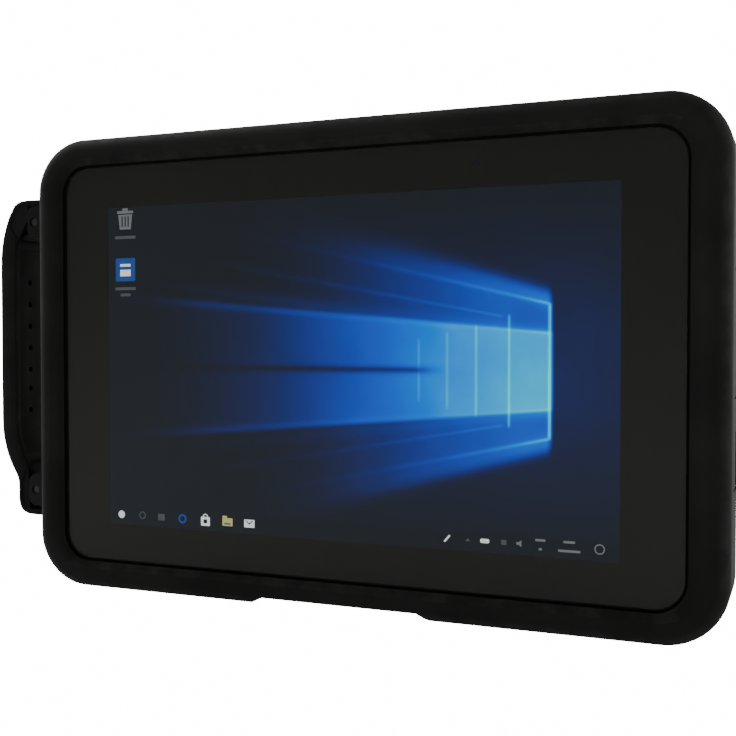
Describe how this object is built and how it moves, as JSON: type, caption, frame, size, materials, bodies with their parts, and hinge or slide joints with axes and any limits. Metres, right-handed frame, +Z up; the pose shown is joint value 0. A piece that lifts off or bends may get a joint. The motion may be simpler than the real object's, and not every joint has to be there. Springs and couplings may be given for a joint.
{
  "type": "rugged tablet data collector",
  "caption": "Rugged landscape tablet with a rubberised housing, flush cover glass, lit display, hinged port covers, edge buttons and a padded side hand strap.",
  "frame": {"origin": "bottom centre of the whole object's box, in the plane of the flat lower edge on which the tablet stands; the hand strap puts it 10.95 mm left of the housing's middle", "axes": "+X to the reader's right, along the housing's length, away from the hand strap; +Y from the screen through to the back, so that the screen faces -Y; +Z up"},
  "size_m": [0.2536, 0.028, 0.1545],
  "materials": {
    "housing_rubber": "matte black rubberised housing, very fine grain",
    "cover_glass": "clear cover glass over a black printed border",
    "lit_display": "lit display, dark navy with blue light beams",
    "metal_frame": "cast light alloy, as cast",
    "bright_steel": "bright steel screws and pins",
    "black_steel": "black oxide screws",
    "brass": "turned brass inserts and gold-plated contacts",
    "circuit_board": "green solder mask",
    "shielding": "tinned sheet shielding",
    "copper": "copper spreader and flat cables",
    "black_plastic": "matte black moulded plastic",
    "soft_rubber": "soft black seal rubber",
    "ceramic": "pale fired ceramic",
    "battery_wrap": "aluminium cell cases in a dark wrap",
    "light_guide": "white reflector and light guide sheets",
    "lens": "coated camera window",
    "diffuser": "pale flash diffuser",
    "strap_cloth": "black woven strap cloth",
    "strap_lining": "black knitted padding"
  },
  "bodies": {
    "tablet": {"front_bezel": "housing_rubber", "rear_housing": "housing_rubber", "battery_door": "housing_rubber", "cover_glass": "cover_glass", "display_panel": "lit_display", "mid_frame": "metal_frame", "backlight_unit": "light_guide", "frame_screws": "bright_steel", "board_screws": "bright_steel", "anchor_screws": "bright_steel", "cover_pins": "bright_steel", "strap_pins": "black_steel", "battery_door_screws": "black_steel", "case_screws": "black_steel", "case_inserts": "brass", "mount_inserts": "brass", "dock_contacts": "brass", "battery_contacts": "brass", "main_board": "circuit_board", "button_boards": "circuit_board", "io_board": "circuit_board", "storage_module": "circuit_board", "shield_cans": "shielding", "radio_module": "shielding", "usb_port": "shielding", "heat_spreader": "copper", "display_cable": "copper", "camera_cable": "copper", "wifi_antennas": "copper", "front_camera": "black_plastic", "light_sensor": "black_plastic", "button_switches": "black_plastic", "speakers": "black_plastic", "speaker_meshes": "strap_cloth", "audio_socket": "black_plastic", "power_socket": "black_plastic", "rear_camera": "black_plastic", "dock_connector": "black_plastic", "upper_strap_anchor": "black_plastic", "lower_strap_anchor": "black_plastic", "glass_seal": "soft_rubber", "housing_seal": "soft_rubber", "battery_door_seal": "soft_rubber", "gnss_antenna": "ceramic", "battery_pack": "battery_wrap", "rear_camera_window": "lens", "flash_lens": "diffuser", "strap_webbing": "strap_cloth", "strap_cover": "strap_cloth", "strap_pad": "strap_lining"},
    "power_button": {"power_button": "housing_rubber"},
    "function_button": {"function_button": "housing_rubber"},
    "volume_down_button": {"volume_down_button": "housing_rubber"},
    "volume_up_button": {"volume_up_button": "housing_rubber"},
    "data_cover": {"data_cover": "housing_rubber", "data_cover_seal": "soft_rubber"},
    "power_cover": {"power_cover": "housing_rubber", "power_cover_seal": "soft_rubber"}
  },
  "joints": [
    {"name": "power_button_press", "type": "slide", "parent": "tablet", "child": "power_button", "axis": [0, 0, -1], "range_m": [0, 0.0006], "stiffness_N_per_m": 500, "springref_m": -0.0004},
    {"name": "function_button_press", "type": "slide", "parent": "tablet", "child": "function_button", "axis": [0, 0, -1], "range_m": [0, 0.0006], "stiffness_N_per_m": 500, "springref_m": -0.0004},
    {"name": "volume_down_button_press", "type": "slide", "parent": "tablet", "child": "volume_down_button", "axis": [0, 0, -1], "range_m": [0, 0.0006], "stiffness_N_per_m": 500, "springref_m": -0.0004},
    {"name": "volume_up_button_press", "type": "slide", "parent": "tablet", "child": "volume_up_button", "axis": [0, 0, -1], "range_m": [0, 0.0006], "stiffness_N_per_m": 500, "springref_m": -0.0004},
    {"name": "data_cover_hinge", "type": "hinge", "parent": "tablet", "child": "data_cover", "pos_m": [0.12485, 0.0058, 0.08725], "axis": [0, 0, 1], "range_deg": [0, 95]},
    {"name": "power_cover_hinge", "type": "hinge", "parent": "tablet", "child": "power_cover", "pos_m": [0.12485, 0.0058, 0.05125], "axis": [0, 0, 1], "range_deg": [0, 95]}
  ]
}
